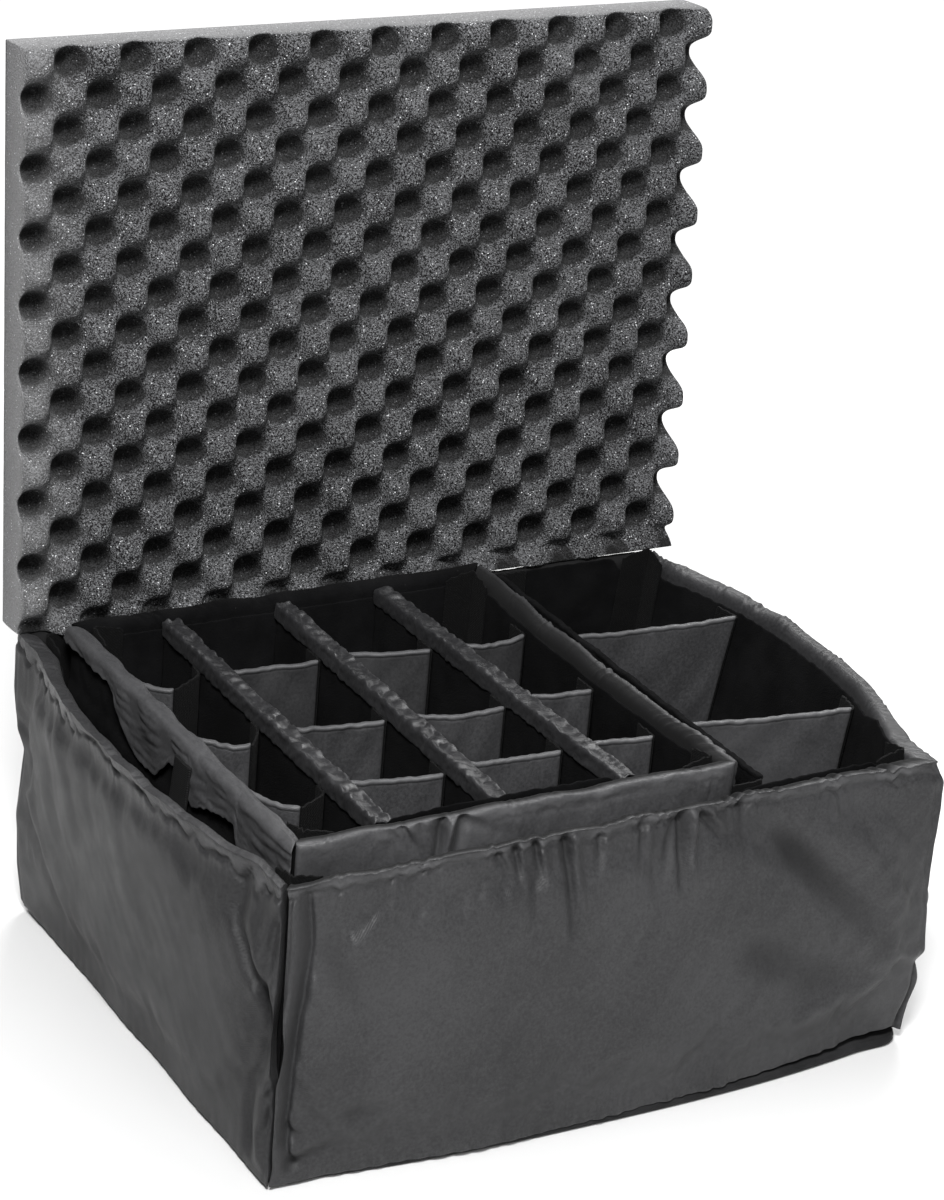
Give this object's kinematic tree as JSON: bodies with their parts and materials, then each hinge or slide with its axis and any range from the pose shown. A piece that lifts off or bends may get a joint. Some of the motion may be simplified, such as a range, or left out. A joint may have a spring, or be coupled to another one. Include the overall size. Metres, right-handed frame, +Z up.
{
  "type": "camera bag insert",
  "caption": "Padded box insert for a camera case, with an open bay, a lift-out divided tray and a lid pad of convoluted foam.",
  "frame": {"origin": "middle of the box's underside, on the surface it stands on", "axes": "+Z up; +Y to the rear, where the lid pad stands; +X to the side with the open bay"},
  "size_m": [0.6076, 0.4947, 0.6809],
  "materials": {
    "nylon": "matt black-grey woven nylon over thin foam",
    "loop_lining": "brushed black loop fabric",
    "hook_tape": "black hook tape",
    "webbing": "woven black webbing",
    "base_panel": "fabric-faced stiff plastic board, matt",
    "lid_foam": "open-cell charcoal foam"
  },
  "bodies": {
    "box": {"lower_cross_divider_1": "nylon", "lower_cross_divider_2": "nylon", "lower_cross_divider_3": "nylon", "lower_long_divider_1": "nylon", "lower_long_divider_2": "nylon", "outer_back_left_corner_tape": "hook_tape", "outer_back_lining": "loop_lining", "outer_back_right_corner_tape": "hook_tape", "outer_back_wall": "nylon", "outer_floor_pad": "base_panel", "outer_front_left_corner_tape": "hook_tape", "outer_front_lining": "loop_lining", "outer_front_right_corner_tape": "hook_tape", "outer_front_wall": "nylon", "outer_left_lining": "loop_lining", "outer_left_wall": "nylon", "outer_right_lining": "loop_lining", "outer_right_wall": "nylon"},
    "tray": {"tray_back_left_corner_tape": "hook_tape", "tray_back_lining": "loop_lining", "tray_back_right_corner_tape": "hook_tape", "tray_back_wall": "nylon", "tray_floor_pad": "loop_lining", "tray_front_left_corner_tape": "hook_tape", "tray_front_lining": "loop_lining", "tray_front_right_corner_tape": "hook_tape", "tray_front_wall": "nylon", "tray_left_lining": "loop_lining", "tray_left_pull_tab": "webbing", "tray_left_wall": "nylon", "tray_right_lining": "loop_lining", "tray_right_pull_tab": "webbing", "tray_right_wall": "nylon"},
    "long_divider_1": {"tray_long_divider_1": "nylon"},
    "long_divider_2": {"tray_long_divider_2": "nylon"},
    "long_divider_3": {"tray_long_divider_3": "nylon"},
    "cross_divider_1_1": {"tray_cross_divider_1_1": "nylon"},
    "cross_divider_1_2": {"tray_cross_divider_1_2": "nylon"},
    "cross_divider_1_3": {"tray_cross_divider_1_3": "nylon"},
    "cross_divider_2_1": {"tray_cross_divider_2_1": "nylon"},
    "cross_divider_2_2": {"tray_cross_divider_2_2": "nylon"},
    "cross_divider_2_3": {"tray_cross_divider_2_3": "nylon"},
    "cross_divider_3_1": {"tray_cross_divider_3_1": "nylon"},
    "cross_divider_3_2": {"tray_cross_divider_3_2": "nylon"},
    "cross_divider_3_3": {"tray_cross_divider_3_3": "nylon"},
    "cross_divider_4_1": {"tray_cross_divider_4_1": "nylon"},
    "cross_divider_4_2": {"tray_cross_divider_4_2": "nylon"},
    "cross_divider_4_3": {"tray_cross_divider_4_3": "nylon"},
    "bay_divider": {"bay_long_divider": "nylon"},
    "bay_cross_1": {"bay_cross_divider_1": "nylon"},
    "bay_cross_2": {"bay_cross_divider_2": "nylon"},
    "lid": {"lid_foam": "lid_foam"}
  },
  "joints": [
    {"name": "tray_lift", "type": "slide", "parent": "box", "child": "tray", "axis": [0, 0, 1], "range_m": [0, 0.15]},
    {"name": "long_divider_1_lift", "type": "slide", "parent": "tray", "child": "long_divider_1", "axis": [0, 0, 1], "range_m": [0, 0.11]},
    {"name": "long_divider_2_lift", "type": "slide", "parent": "tray", "child": "long_divider_2", "axis": [0, 0, 1], "range_m": [0, 0.11]},
    {"name": "long_divider_3_lift", "type": "slide", "parent": "tray", "child": "long_divider_3", "axis": [0, 0, 1], "range_m": [0, 0.11]},
    {"name": "cross_divider_1_1_lift", "type": "slide", "parent": "tray", "child": "cross_divider_1_1", "axis": [0, 0, 1], "range_m": [0, 0.1]},
    {"name": "cross_divider_1_2_lift", "type": "slide", "parent": "tray", "child": "cross_divider_1_2", "axis": [0, 0, 1], "range_m": [0, 0.1]},
    {"name": "cross_divider_1_3_lift", "type": "slide", "parent": "tray", "child": "cross_divider_1_3", "axis": [0, 0, 1], "range_m": [0, 0.1]},
    {"name": "cross_divider_2_1_lift", "type": "slide", "parent": "tray", "child": "cross_divider_2_1", "axis": [0, 0, 1], "range_m": [0, 0.1]},
    {"name": "cross_divider_2_2_lift", "type": "slide", "parent": "tray", "child": "cross_divider_2_2", "axis": [0, 0, 1], "range_m": [0, 0.1]},
    {"name": "cross_divider_2_3_lift", "type": "slide", "parent": "tray", "child": "cross_divider_2_3", "axis": [0, 0, 1], "range_m": [0, 0.1]},
    {"name": "cross_divider_3_1_lift", "type": "slide", "parent": "tray", "child": "cross_divider_3_1", "axis": [0, 0, 1], "range_m": [0, 0.1]},
    {"name": "cross_divider_3_2_lift", "type": "slide", "parent": "tray", "child": "cross_divider_3_2", "axis": [0, 0, 1], "range_m": [0, 0.1]},
    {"name": "cross_divider_3_3_lift", "type": "slide", "parent": "tray", "child": "cross_divider_3_3", "axis": [0, 0, 1], "range_m": [0, 0.1]},
    {"name": "cross_divider_4_1_lift", "type": "slide", "parent": "tray", "child": "cross_divider_4_1", "axis": [0, 0, 1], "range_m": [0, 0.1]},
    {"name": "cross_divider_4_2_lift", "type": "slide", "parent": "tray", "child": "cross_divider_4_2", "axis": [0, 0, 1], "range_m": [0, 0.1]},
    {"name": "cross_divider_4_3_lift", "type": "slide", "parent": "tray", "child": "cross_divider_4_3", "axis": [0, 0, 1], "range_m": [0, 0.1]},
    {"name": "bay_divider_lift", "type": "slide", "parent": "box", "child": "bay_divider", "axis": [0, 0, 1], "range_m": [0, 0.24]},
    {"name": "bay_cross_1_lift", "type": "slide", "parent": "box", "child": "bay_cross_1", "axis": [0, 0, 1], "range_m": [0, 0.24]},
    {"name": "bay_cross_2_lift", "type": "slide", "parent": "box", "child": "bay_cross_2", "axis": [0, 0, 1], "range_m": [0, 0.24]},
    {"name": "lid_swing", "type": "hinge", "parent": "box", "child": "lid", "pos_m": [0.004, 0.20003, 0.25996], "axis": [-1, 0, 0], "range_deg": [-93.15, 0]}
  ]
}
